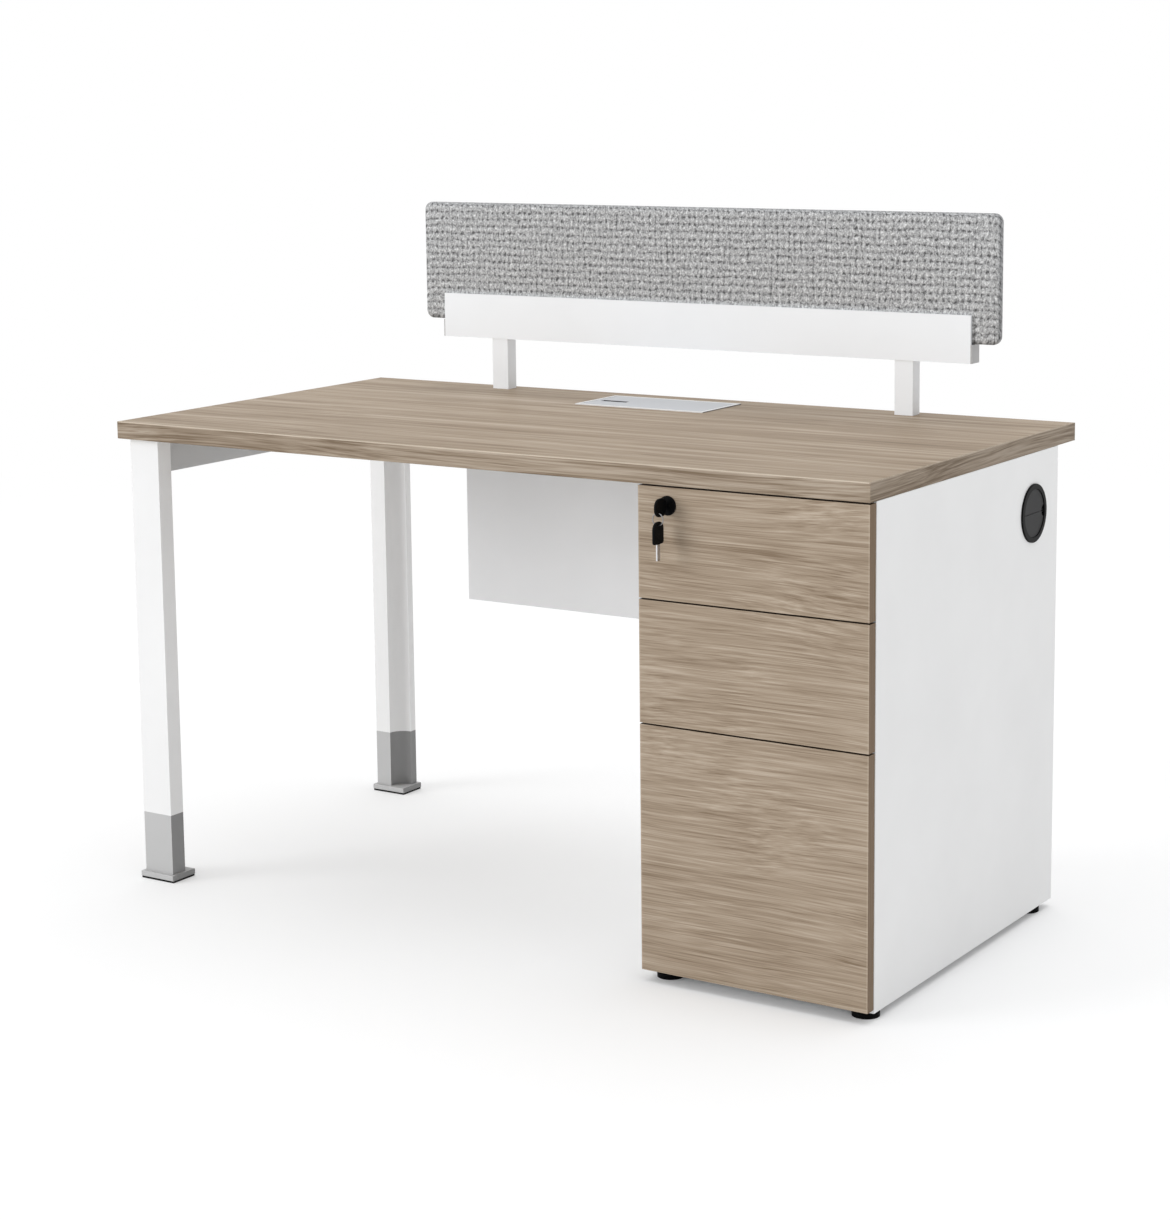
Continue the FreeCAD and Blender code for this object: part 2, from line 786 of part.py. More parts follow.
def make_key_ring():
    """Ring through the key's bow, with the spare key hanging from it."""
    ring_y = front + ring_hole_y
    top_z = lock_z + ring_hole_z
    ring = new_body("key_ring", (lock_x, ring_y, top_z - s.ring_radius))
    torus = ring.newObject("PartDesign::AdditiveTorus", "key_ring_wire")
    torus.Placement = FreeCAD.Placement(V(), TURNS["y"])
    tie(torus, "Radius1", s.ring_radius)
    tie(torus, "Radius2", s.ring_wire)
    keep(ring)
    spare = new_body("spare_key", (lock_x, ring_y, top_z - 2 * s.ring_radius))
    bow_bottom = s.ring_hole_inset - s.spare_bow_length
    add_box(spare, (-s.bow_thick / 2, -s.bow_height / 2, bow_bottom),
            (s.bow_thick, s.bow_height, s.spare_bow_length))
    runs_across = along(V(1, 0, 0))
    top_corner = rim_at(V(0, 0, 1), s.ring_hole_inset)
    low_corner = rim_at(V(0, 0, 1), bow_bottom)
    round_edges(spare, s.bow_corner, lambda edge: runs_across(edge) and top_corner(edge))
    round_edges(spare, s.spare_corner, lambda edge: runs_across(edge) and low_corner(edge))
    round_edges(spare, s.bow_round)
    hole_start = (-s.bow_thick / 2 - s.overrun, 0, 0)
    cut_rod(spare, "x", hole_start, s.ring_hole_radius, s.bow_thick + 2 * s.overrun)
    add_box(spare, (-s.blade_thick / 2, -s.blade_width / 2, bow_bottom - s.blade_length),
            (s.blade_thick, s.blade_width, s.blade_length))
    keep(spare)


rim_top = s.cable_rim_thick
lid_bottom = rim_top - s.lid_thick
lid_width = s.cable_width - 2 * lid_inset
lid_depth = s.cable_depth - 2 * lid_inset
lid_pin_y = s.cable_depth - lid_inset - s.lid_pin_inset
lid_pin_z = lid_bottom + s.lid_thick / 2


def make_cable_box():
    """Frame let into the top, hinged lid and tray below."""
    place = (cable_x, cable_y, s.desk_height)
    frame = new_body("cable_box_frame", place)
    add_box(frame, (0, 0, 0), (s.cable_width, s.cable_depth, rim_top))
    add_box(frame, (skirt_inset, skirt_inset, -s.cable_skirt_depth),
            (s.cable_width - 2 * skirt_inset, s.cable_depth - 2 * skirt_inset, s.cable_skirt_depth))
    cut_box(frame, (lid_pocket, lid_pocket, lid_bottom),
            (s.cable_width - 2 * lid_pocket, s.cable_depth - 2 * lid_pocket, s.lid_thick + s.overrun))
    mouth = lid_pocket + s.cable_ledge
    mouth_depth = s.cable_depth - mouth - lid_pocket
    cut_box(frame, (mouth, mouth, -s.cable_skirt_depth - s.overrun),
            (s.cable_width - 2 * mouth, mouth_depth, s.cable_skirt_depth + 2 * s.overrun))
    ledge_end = lid_pin_y - s.lid_thick / 2 - s.lid_gap
    cut_box(frame, (lid_pocket, ledge_end, -s.cable_skirt_depth - s.overrun),
            (s.cable_width - 2 * lid_pocket, s.cable_depth - lid_pocket - ledge_end,
             s.cable_skirt_depth + 2 * s.overrun))
    pin_hole = s.lid_gap + s.lid_pin_length + s.overrun
    for x in (lid_inset - s.lid_gap - s.lid_pin_length, s.cable_width - lid_inset - s.overrun):
        cut_rod(frame, "x", (x, lid_pin_y, lid_pin_z), s.lid_pin_radius + s.lid_pin_clear, pin_hole)
    keep(frame)
    lid = new_body("cable_box_lid", place)
    add_box(lid, (lid_inset, lid_inset, lid_bottom), (lid_width, lid_depth, s.lid_thick))
    round_edges(lid, s.board_arris)
    slot_y = s.cable_depth - s.lid_slot_back - s.lid_slot_width
    cut_box(lid, (lid_inset + s.lid_slot_side, slot_y, lid_bottom - s.overrun),
            (s.lid_slot_length, s.lid_slot_width, s.lid_thick + 2 * s.overrun))
    pin_reach = s.lid_gap + s.lid_pin_length
    pin_start = (lid_inset - pin_reach, lid_pin_y, lid_pin_z)
    add_rod(lid, "x", pin_start, s.lid_pin_radius, lid_width + 2 * pin_reach)
    keep(lid)
    tray_width = s.cable_width - 2 * cut_inset + 2 * s.tray_wall
    tray_length = s.cable_depth - 2 * cut_inset + 2 * s.tray_wall
    tray = new_body("cable_box_tray", (tray_x, tray_y, under - s.tray_depth))
    add_box(tray, (0, 0, 0), (tray_width, tray_length, s.tray_depth))
    add_box(tray, (-s.tray_flange, 0, s.tray_depth - s.tray_wall),
            (tray_width + 2 * s.tray_flange, tray_length, s.tray_wall))
    cut_box(tray, (s.tray_wall, s.tray_wall, s.tray_wall),
            (tray_width - 2 * s.tray_wall, tray_length - 2 * s.tray_wall, s.tray_depth))
    keep(tray)


flap_x = s.port_rim_thick - s.flap_recess - s.flap_thick
flap_radius = s.port_sleeve_radius - s.port_sleeve_wall - s.flap_gap
pin_reach = flap_radius + s.flap_gap + s.flap_pin_length


def make_port():
    """Round cable port: a flanged sleeve with two half-round flaps that hinge along the middle,
    notched at both ends of that line."""
    place = (right, port_y, port_z)
    ring = new_body("port_ring", place)
    add_rod(ring, "x", (0, 0, 0), s.port_rim_radius, s.port_rim_thick)
    round_edges(ring, s.port_rim_round, rim_at(V(1, 0, 0), s.port_rim_thick))
    add_rod(ring, "x", (-s.board_thick, 0, 0), s.port_sleeve_radius, s.board_thick)
    bore = s.board_thick + s.port_rim_thick + 2 * s.overrun
    bore_radius = s.port_sleeve_radius - s.port_sleeve_wall
    cut_rod(ring, "x", (-s.board_thick - s.overrun, 0, 0), bore_radius, bore)
    pin_x = flap_x + s.flap_thick / 2
    for sign in (1, -1):
        start = (pin_x, -pin_reach, sign * s.flap_pin_offset)
        cut_rod(ring, "y", start, s.flap_pin_radius + s.flap_pin_clear, 2 * pin_reach)
    keep(ring)
    for name, sign in (("upper", 1), ("lower", -1)):
        flap = new_body(f"{name}_port_flap", place)
        add_rod(flap, "x", (flap_x, 0, 0), flap_radius, s.flap_thick)
        span = 2 * (flap_radius + s.overrun)
        low = -span / 2 if sign > 0 else -s.flap_gap
        depth = span / 2 + s.flap_gap
        cut_box(flap, (flap_x - s.overrun, -span / 2, low), (s.flap_thick + 2 * s.overrun, span, depth))
        for y, radius in ((flap_radius, s.rear_notch_radius), (-flap_radius, s.front_notch_radius)):
            cut_rod(flap, "x", (flap_x - s.overrun, y, 0), radius, s.flap_thick + 2 * s.overrun)
        pin_start = (pin_x, -pin_reach, sign * s.flap_pin_offset)
        add_rod(flap, "y", pin_start, s.flap_pin_radius, 2 * pin_reach)
        keep(flap)


beam_bottom = s.desk_height + s.post_height
screen_bottom = beam_bottom + s.screen_beam_height - s.slot_depth
screen_y = post_y + s.post_depth / 2


def make_divider():
    """Two posts, a slotted beam with end caps, and the fabric screen that stands in the slot."""
    for name, x in post_places.items():
        post = new_body(f"{name}_post", (x - s.post_width / 2, post_y, s.desk_height))
        add_box(post, (0, 0, 0), (s.post_width, s.post_depth, s.post_height))
        cut_box(post, (s.post_wall, s.post_wall, s.post_foot),
                (s.post_width - 2 * s.post_wall, s.post_depth - 2 * s.post_wall, s.post_height))
        bolt_start = (s.post_width / 2, s.post_depth / 2, -s.overrun)
        bolt_hole = s.post_bolt_radius + s.post_bolt_clear
        cut_rod(post, "z", bolt_start, bolt_hole, s.post_foot + 2 * s.overrun)
        keep(post)
    slot_half = s.screen_thick / 2 + s.slot_clear
    half = s.screen_beam_depth / 2
    slot_floor = s.screen_beam_height - s.slot_depth - s.slot_clear
    section = [(-half, 0), (half, 0), (half, s.screen_beam_height), (slot_half, s.screen_beam_height),
               (slot_half, slot_floor), (-slot_half, slot_floor), (-slot_half, s.screen_beam_height),
               (-half, s.screen_beam_height)]
    wall = s.screen_beam_wall
    hollow = rectangle(wall - half, wall, 2 * (half - wall), slot_floor - 2 * wall)
    beam = new_body("divider_beam", (s.divider_shift - s.screen_beam_length / 2, screen_y, beam_bottom))
    pad(beam, "YZ_Plane", [section, hollow], s.screen_beam_length)
    keep(beam)
    caps = []
    beam_end = s.screen_beam_length / 2
    for name, x in (("left", -beam_end - s.cap_thick), ("right", beam_end)):
        cap = new_body(f"{name}_beam_cap", (s.divider_shift + x, screen_y - half, beam_bottom))
        add_box(cap, (0, 0, 0), (s.cap_thick, s.screen_beam_depth, slot_floor))
        caps.append(cap)
    group("beam_end_caps", caps)
    screen_left = s.divider_shift - s.screen_width / 2
    screen = new_body("screen_panel", (screen_left, screen_y - s.screen_thick / 2, screen_bottom))
    add_box(screen, (0, 0, 0), (s.screen_width, s.screen_thick, s.screen_height))
    round_edges(screen, s.screen_corner, along(V(0, 1, 0)))
    round_edges(screen, s.screen_round, lambda edge: not along(V(0, 1, 0))(edge))
    keep(screen)


def check_document():
    """Stops if any object failed or any sub-part has no valid shape."""
    doc.recompute()
    failed = [thing.Label for thing in doc.Objects if {"Invalid", "Error"} & set(thing.State)]
    failed += [thing.Label for thing in parts if thing.Shape.isNull() or not thing.Shape.isValid()]
    failed += [thing.Label for thing in parts if not thing.Shape.Solids]
    if failed:
        raise RuntimeError(f"failed: {failed}")


make_desktop()
make_edge_bands()
make_legs()
make_side_beam()
make_cross_rails()
make_bolts()
make_modesty_panel()
make_case()
make_top_rail()
make_glides()
for drawer, (drawer_z, drawer_height, drawer_drop) in DRAWERS.items():
    make_drawer(drawer, drawer_z, drawer_height, drawer_drop)
    make_runners(drawer, drawer_z)
make_lock()
make_key_ring()
make_cable_box()
make_port()
make_divider()
check_document()

os.makedirs("parts", exist_ok=True)
for part in parts:
    part.Shape.exportStep(f"parts/{part.Label}.step")
print(len(parts), "sub-parts written")
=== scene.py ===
"""Looks of the office desk: finishes, fabric screen, light, floor and camera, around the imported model."""
import json
import math
from collections import namedtuple

import bmesh
import bpy
from mathutils import Matrix, Vector


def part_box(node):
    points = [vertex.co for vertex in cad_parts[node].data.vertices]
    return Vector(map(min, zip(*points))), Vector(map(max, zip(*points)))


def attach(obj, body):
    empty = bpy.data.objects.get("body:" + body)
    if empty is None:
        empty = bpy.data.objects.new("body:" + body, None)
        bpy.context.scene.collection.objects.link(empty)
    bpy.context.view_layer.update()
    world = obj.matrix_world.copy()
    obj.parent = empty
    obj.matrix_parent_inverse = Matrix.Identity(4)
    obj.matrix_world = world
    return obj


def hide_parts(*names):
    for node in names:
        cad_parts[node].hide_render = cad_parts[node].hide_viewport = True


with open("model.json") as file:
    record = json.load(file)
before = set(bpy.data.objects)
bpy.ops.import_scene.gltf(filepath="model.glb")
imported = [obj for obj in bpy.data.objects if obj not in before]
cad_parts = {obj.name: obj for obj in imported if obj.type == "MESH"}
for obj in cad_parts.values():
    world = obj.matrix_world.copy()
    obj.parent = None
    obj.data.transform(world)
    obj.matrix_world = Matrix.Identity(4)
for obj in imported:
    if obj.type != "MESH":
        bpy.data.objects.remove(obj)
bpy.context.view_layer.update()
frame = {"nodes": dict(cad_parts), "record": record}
top_low, top_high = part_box("edge_bands")

# A lamp, the fine relief of a finish, and painted shade: a darker tint on the faces that look along an axis
Lamp = namedtuple("Lamp", "name direction strength spread")
Peel = namedtuple("Peel", "scale depth")
PaintedShade = namedtuple("PaintedShade", "axis least tint")

# Photograph: height and focal length in pixels, and the sensor's length along that height in millimetres
IMAGE_HEIGHT = 1220
FOCAL_PIXELS = 2679
SENSOR = 36.0

# Camera: metres from the top's front left corner and from the floor, degrees, and its shift as a share
CAMERA_FROM_LEFT = 2.956
CAMERA_FROM_FRONT = -3.177
CAMERA_HEIGHT = 1.309
CAMERA_YAW = 32.97
CAMERA_PITCH = 8.86
CAMERA_ROLL = -0.65
CAMERA_SHIFT_SHARE = -0.1
CAMERA_CLIP_END = 100.0

# Light: the strength that renders as white, the surroundings' light, and lamps with spreads in degrees
WHITE_STRENGTH = 1.0
AMBIENT = 0.54
LAMPS = (
    Lamp("overhead", direction=(0.05, -0.15, -1.0), strength=1.4, spread=60.0),
    Lamp("soft_key", direction=(1.0, 1.0, -0.4), strength=1.5, spread=30.0),
    Lamp("soft_fill", direction=(-1.0, 0.3, -0.3), strength=0.25, spread=70.0),
)

# Floor, in metres: its reach, where it turns to plain white, and how near a piece darkens it
FLOOR_REACH = 30.0
FLOOR_FADE_START = 1.6
FLOOR_FADE_END = 5.0
CONTACT_REACH = 0.15

# Floor near the desk: share of plain white in it, and its faint clouds in repeats per metre
FLOOR_WHITE_SHARE = 0.45
FLOOR_CLOUD_SCALE = 0.4
FLOOR_CLOUD_TINT = 0.99

# Fabric screen, in metres: rounding of its corners and edges, crown of its faces, and rings on them
SCREEN_CORNER = 0.014
SCREEN_LEAST_CORNER = 0.002
SCREEN_EDGE = 0.0075
SCREEN_CROWN = 0.0007
SCREEN_INSETS = (0.07, 0.045, 0.025, 0.014)

# Steps round the screen's edges and corners
EDGE_STEPS = 7
CORNER_STEPS = 8

# Weave, in metres: from yarn to yarn, how far the yarns stray, and depth of the relief
WEAVE_COLUMN = 0.011
WEAVE_ROW = 0.0123
WANDER_REACH = 0.009
SHIVER_REACH = 0.005
WEAVE_DEPTH = 0.0012

# Weave's irregularities: repeats per metre, along and up the panel where these differ
WANDER_SCALE = 26.0
SHIVER_SCALE = 120.0
PATCH_SCALE = (75.0, 75.0, 1.0)
THREAD_SCALE = (90.0, 24.0, 1.0)
SPECK_SCALE = (420.0, 330.0, 1.0)
TWIST_SCALE = (230.0, 130.0, 1.0)

# Weave's dark lines, their dots and the upright threads: sharpness, and the noise that shows a thread
LINE_SHARPNESS = 1.4
DOT_SHARPNESS = 1.2
THREAD_SHARPNESS = 5.0
THREAD_LIMIT = 0.56

# Weave's shares of the tone, where a negative one darkens, and of the relief
SPECK_SHARE = 0.62
TWIST_SHARE = 0.38
LINE_SHARE = -0.25
THREAD_SHARE = -0.1
ROW_RELIEF_SHARE = 0.8
COLUMN_RELIEF_SHARE = 0.3
SPECK_RELIEF_SHARE = 0.5

# Painted shade on the screen's rounded edges: how squarely the cloth faces Y at its start and end, and how
# strong it is
EDGE_SHADE_START = 0.95
EDGE_SHADE_END = 0.5
EDGE_SHADE_SHARE = 0.35
EDGE_SHADE_TINT = 0.5

# Middle of a ramp and of a noise, and the noise levels that give the two colours of a two-toned finish
MIDDLE = 0.5
NOISE_LOW = 0.3
NOISE_HIGH = 0.7

# Wood grain: repeats per metre along and across it, and each layer's share of the tone
GRAIN = {"bands": (0.8, 14.0), "stripes": (2.0, 58.0), "streaks": (4.5, 280.0), "fibres": (8.0, 620.0),
         "pores": (20.0, 1300.0)}
TOP_SHARES = {"bands": 0.16, "stripes": 0.36, "streaks": 0.28, "fibres": 0.14, "pores": 0.06}
BAND_SHARES = {"bands": 0.06, "stripes": 0.24, "streaks": 0.42, "fibres": 0.22, "pores": 0.06}
FRONT_SHARES = {"bands": 0.12, "stripes": 0.14, "streaks": 0.36, "fibres": 0.3, "pores": 0.08}
PORE_DEPTH = 0.0002

# Waves in the grain: repeats per metre along and across it, and how far it strays in metres
DRIFT_SCALE = (1.3, 4.0, 4.0)
DRIFT_REACH = 0.06
RIPPLE_SCALE = (5.0, 20.0, 20.0)
RIPPLE_REACH = 0.006

# Grain's tone from the middle colour to the dark one and to the light one
DARK_SPAN = 0.13
LIGHT_SPAN = 0.12

# Painted highlight on the desktop's upper arris: its width in metres, and its share of the colour on long
# sides and on ends
ARRIS_HIGHLIGHT_WIDTH = 0.0015
LONG_ARRIS_HIGHLIGHT_SHARE = 0.62
END_ARRIS_HIGHLIGHT_SHARE = 0.2

# Drawer fronts' side strips: width of the seam that shows in front, in metres, and shares of the colour for
# the pale seam and for the strips' painted shade
SEAM_WIDTH = 0.0022
SEAM_SHARE = 0.35
STRIP_SHADE_SHARE = 0.6

# Bare length of the spare key's blade, in metres
BLADE_LENGTH = 0.0232

# Notches of the cable port's flaps, in metres from its middle, and half the height of the pins there,
# painted black as the shade in the notches
REAR_NOTCH_START = 0.0275
FRONT_NOTCH_START = 0.033
PIN_REACH = 0.0025

# How squarely a face looks along an axis to count as facing that way
SQUARE_ON = 0.7

# Peel of the finishes: repeats per metre and depth in metres
POWDER_PEEL = Peel(scale=900.0, depth=0.00006)
BOARD_PEEL = Peel(scale=500.0, depth=0.00004)
METAL_PEEL = Peel(scale=1200.0, depth=0.00006)
ANODISED_PEEL = Peel(scale=1400.0, depth=0.00004)
PALE_PLASTIC_PEEL = Peel(scale=1600.0, depth=0.00004)
BLACK_PLASTIC_PEEL = Peel(scale=1800.0, depth=0.00005)
RUBBER_PEEL = Peel(scale=1500.0, depth=0.00008)

# Coated finishes: clouds in repeats per metre, their tint, and how far roughness goes below and above
CLOUD_SCALE = 7.0
CLOUD_TINT = 0.965
ROUGHNESS_BELOW = 0.05
ROUGHNESS_ABOVE = 0.07

# Brushed metal: lines along Y and clouds in repeats per metre, depth in metres, tint and roughness
BRUSH_SCALE = (2600.0, 18.0, 2600.0)
BRUSH_CLOUD_SCALE = 14.0
BRUSH_DEPTH = 0.00004
BRUSH_TINT = 0.86
BRUSH_ROUGHNESS = 0.06
BRUSH_CLOUD_SHARE = 0.08

# Black plastic of the key and grey plastic of the flaps: tint of the peel
KEY_TINT = 1.5
FLAP_TINT = 0.95

# Colours, linear
OAK_DARK = (0.215, 0.158, 0.108)
OAK_MIDDLE = (0.35, 0.278, 0.207)
OAK_LIGHT = (0.48, 0.4, 0.318)
# Painted highlight of the desktop's upper arris
OAK_ARRIS_HIGHLIGHT = (0.66, 0.575, 0.47)
# Painted shade of the drawer fronts' side strips, and of their upper and lower edges in the gaps
OAK_STRIP_SHADE = (0.207, 0.136, 0.082)
OAK_GAP_SHADE = (0.05, 0.031, 0.016)
POWDER_WHITE = (0.8, 0.8, 0.8)
# Painted shade: the side beam's white is darker, for the shade under the desktop
BEAM_WHITE_PAINTED_SHADE = (0.54, 0.545, 0.55)
DIVIDER_WHITE = (0.93, 0.955, 0.985)
BOARD_WHITE = (0.85, 0.85, 0.85)
# Painted shade: the modesty panel's white is darker than the other boards, for the shade under the desktop
MODESTY_WHITE_PAINTED_SHADE = (0.76, 0.765, 0.775)
# Grey of the beam's end caps, darker also as painted shade on the beam's right end
CAP_GREY_AND_SHADE = (0.5, 0.5, 0.505)
FOOT_GREY = (0.49, 0.49, 0.49)
BLACK = (0.004, 0.004, 0.0042)
FLAP_GREY = (0.036, 0.036, 0.037)
RUBBER_BLACK = (0.004, 0.004, 0.004)
STEEL_GREY = (0.56, 0.56, 0.57)
RING_GREY = (0.3, 0.3, 0.305)
LID_GREY = (0.48, 0.495, 0.52)
RIM_GREY = (0.78, 0.785, 0.79)
# Dark grey of the cable tray, kept almost black also as painted shade seen through the lid's slot
TRAY_GREY_AND_SHADE = (0.06, 0.06, 0.06)
FLOOR_WHITE = (0.945, 0.95, 0.956)
FABRIC_DARK = (0.099, 0.1, 0.103)
FABRIC_MIDDLE = (0.404, 0.41, 0.418)
FABRIC_LIGHT = (0.85, 0.86, 0.872)
FABRIC_STOPS = ((0.28, FABRIC_DARK), (0.47, FABRIC_MIDDLE), (0.66, FABRIC_LIGHT))

# Places of a mix node's first input, second input and output, which differ by the kind of value
MIX_SOCKETS = {"RGBA": (6, 7, 2), "VECTOR": (4, 5, 1)}


class Shader:
    """A node material with short ways to add its nodes."""

    def __init__(self, name):
        self.material = bpy.data.materials.new(name)
        self.material.use_nodes = True
        self.tree = self.material.node_tree
        self.surface = self.tree.nodes["Principled BSDF"]
        own = self.add("ShaderNodeTexCoord")
        self.coordinates = own.outputs["Object"]
        self.normal = own.outputs["Normal"]

    def add(self, kind, **settings):
        made = self.tree.nodes.new(kind)
        for key, value in settings.items():
            setattr(made, key, value)
        return made

    def feed(self, socket, source):
        """Links an output to an input, or sets the input to a plain value or an opaque colour."""
        if isinstance(source, bpy.types.NodeSocket):
            self.tree.links.new(source, socket)
        elif socket.type == "RGBA":
            socket.default_value = (*source, 1.0)
        else:
            socket.default_value = source

    def set(self, **inputs):
        for name, value in inputs.items():
            self.feed(self.surface.inputs[name.replace("_", " ")], value)

    def math(self, operation, first, second=0.0, clamp=False):
        made = self.add("ShaderNodeMath", operation=operation, use_clamp=clamp)
        self.feed(made.inputs[0], first)
        self.feed(made.inputs[1], second)
        return made.outputs[0]

    def weighted(self, *parts):
        """Sum of values, each times its weight."""
        total = 0.0
        for value, weight in parts:
            total = self.math("ADD", self.math("MULTIPLY", value, weight), total)
        return total

    def vector(self, operation, first, second):
        made = self.add("ShaderNodeVectorMath", operation=operation)
        self.feed(made.inputs[0], first)
        self.feed(made.inputs[1], second)
        return made.outputs[0]

    def split(self, vector):
        made = self.add("ShaderNodeSeparateXYZ")
        self.feed(made.inputs[0], vector)
        return made.outputs

    def join(self, x, y, z):
        made = self.add("ShaderNodeCombineXYZ")
        for socket, value in zip(made.inputs, (x, y, z)):
            self.feed(socket, value)
        return made.outputs[0]

    def noise(self, vector, scale, detail, roughness=0.55):
        """Noise stretched by a scale along each axis, in repeats per metre."""
        made = self.add("ShaderNodeTexNoise")
        self.feed(made.inputs["Vector"], self.vector("MULTIPLY", vector, scale))
        self.feed(made.inputs["Scale"], 1.0)
        self.feed(made.inputs["Detail"], detail)
        self.feed(made.inputs["Roughness"], roughness)
        return made.outputs["Fac"]

    def even_noise(self, scale, detail):
        """Noise with one scale along all axes of the piece, in repeats per metre."""
        return self.noise(self.coordinates, (scale, scale, scale), detail)

    def ramp(self, factor, stops):
        """Colour ramp through (place, colour) stops."""
        made = self.add("ShaderNodeValToRGB")
        elements = made.color_ramp.elements
        while len(elements) < len(stops):
            elements.new(MIDDLE)
        for element, (place, colour) in zip(elements, stops):
            element.position = place
            element.color = (*colour, 1.0)
        self.feed(made.inputs["Fac"], factor)
        return made.outputs["Color"]

    def two_tone(self, noise, first, second):
        """One colour where a noise is low, another where it is high."""
        return self.ramp(noise, ((NOISE_LOW, first), (NOISE_HIGH, second)))

    def spread(self, factor, low, high):
        """A factor from 0 to 1 mapped to a range."""
        made = self.add("ShaderNodeMapRange")
        self.feed(made.inputs["Value"], factor)
        self.feed(made.inputs["To Min"], low)
        self.feed(made.inputs["To Max"], high)
        return made.outputs["Result"]

    def fade(self, value, start, end, low=0.0, high=1.0):
        """Smooth change from low to high as a value goes from start to end."""
        made = self.add("ShaderNodeMapRange", interpolation_type="SMOOTHSTEP")
        self.feed(made.inputs["Value"], value)
        self.feed(made.inputs["From Min"], start)
        self.feed(made.inputs["From Max"], end)
        self.feed(made.inputs["To Min"], low)
        self.feed(made.inputs["To Max"], high)
        return made.outputs["Result"]

    def mix(self, factor, first, second, kind="RGBA"):
        """Blend from a first colour to a second, or from a first vector to a second."""
        made = self.add("ShaderNodeMix", data_type=kind)
        first_place, second_place, result_place = MIX_SOCKETS[kind]
        self.feed(made.inputs["Factor"], factor)
        self.feed(made.inputs[first_place], first)
        self.feed(made.inputs[second_place], second)
        return made.outputs[result_place]

    def ridges(self, place, period):
        """Rounded ridges, one to a period: 0 in the furrows and 1 on the crests."""
        wave = self.math("SINE", self.math("MULTIPLY", place, math.pi / period))
        return self.math("ABSOLUTE", wave)

    def furrows(self, ridges, sharpness):
        """1 in the furrows between ridges and 0 on the crests."""
        return self.math("POWER", self.math("SUBTRACT", 1.0, ridges), sharpness)

    def bump(self, height, depth, strength):
        made = self.add("ShaderNodeBump")
        self.feed(made.inputs["Height"], height)
        self.feed(made.inputs["Distance"], depth)
        self.feed(made.inputs["Strength"], strength)
        self.set(Normal=made.outputs["Normal"])


def shade(colour, tint):
    return tuple(channel * tint for channel in colour)


def facing(shader, axis):
    """How squarely a face looks along its piece's own axis, either way: 1 squarely, 0 not at all."""
    return shader.math("ABSOLUTE", shader.split(shader.normal)[axis])


def faces_along(shader, axis, least=SQUARE_ON):
    """1 on faces that look along an axis, as a board's ends do along X, and 0 elsewhere."""
    return shader.math("GREATER_THAN", facing(shader, axis), least)


def oak_ramp(shader, tone, tint, contrast):
    """Oak colours along the grain's tone."""
    return shader.ramp(tone, ((MIDDLE - DARK_SPAN / contrast, shade(OAK_DARK, tint)),
                              (MIDDLE, shade(OAK_MIDDLE, tint)),
                              (MIDDLE + LIGHT_SPAN / contrast, shade(OAK_LIGHT, tint))))


def oak(name, shares, end_grain_axis, wave, tint, painted_end_shade, specular, contrast=1.0):
    """Wood-effect laminate: grain along X, and along Y or Z on the banded ends, which take painted shade.
    Gives the shader, its colour and the mask of those ends."""
    shader = Shader(name)
    place = shader.split(shader.coordinates)
    if end_grain_axis == "Y":
        turned = shader.join(place["Y"], place["X"], place["Z"])
    else:
        turned = shader.join(place["Z"], place["Y"], place["X"])
    sideways = faces_along(shader, "X")
    grain = shader.mix(sideways, shader.coordinates, turned, kind="VECTOR")
    drift = shader.noise(grain, DRIFT_SCALE, detail=1.0)
    ripple = shader.noise(grain, RIPPLE_SCALE, detail=1.0)
    stray = shader.weighted((drift, DRIFT_REACH * wave), (ripple, RIPPLE_REACH * wave))
    warped = shader.vector("ADD", grain, shader.join(0.0, stray, stray))
    layers = {}
    for layer, (along, across) in GRAIN.items():
        layers[layer] = shader.noise(warped, (along, across, across), detail=2.0, roughness=0.6)
    tone = shader.weighted(*((layers[layer], shares[layer]) for layer in GRAIN))
    # Painted shade: the ends that look along X get the darker end tint
    colour = shader.mix(sideways, oak_ramp(shader, tone, tint, contrast),
                        oak_ramp(shader, tone, painted_end_shade, contrast))
    shader.set(Base_Color=colour, Specular_IOR_Level=specular)
    shader.set(Roughness=shader.spread(layers["streaks"], low=0.34, high=0.54))
    shader.bump(shader.math("ADD", layers["fibres"], layers["pores"]), depth=PORE_DEPTH, strength=0.4)
    return shader, colour, sideways


def board_oak():
    """Laminate of the desktop's faces."""
    return oak("oak_top", TOP_SHARES, "Y", wave=0.8, tint=0.98, painted_end_shade=0.98, specular=0.02)[0].material


def band_oak():
    """Edge bands of the desktop, with a painted highlight along the rounded arris, least at the two ends,
    which also take painted shade.
    """
    shader, colour, _ = oak("oak_band", BAND_SHARES, "Y", wave=0.6, tint=0.84, painted_end_shade=0.74, specular=0.06,
                            contrast=1.5)
    place = shader.split(shader.coordinates)
    board_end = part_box("desktop")[1].x
    # Painted highlight: a pale line along the top of the bands
    on_arris = shader.math("GREATER_THAN", place["Z"], top_high.z - ARRIS_HIGHLIGHT_WIDTH)
    at_end = shader.math("GREATER_THAN", shader.math("ABSOLUTE", place["X"]), board_end)
    pale = shader.math("MULTIPLY", on_arris, shader.spread(at_end, LONG_ARRIS_HIGHLIGHT_SHARE, END_ARRIS_HIGHLIGHT_SHARE))
    shader.set(Base_Color=shader.mix(pale, colour, OAK_ARRIS_HIGHLIGHT))
    return shader.material


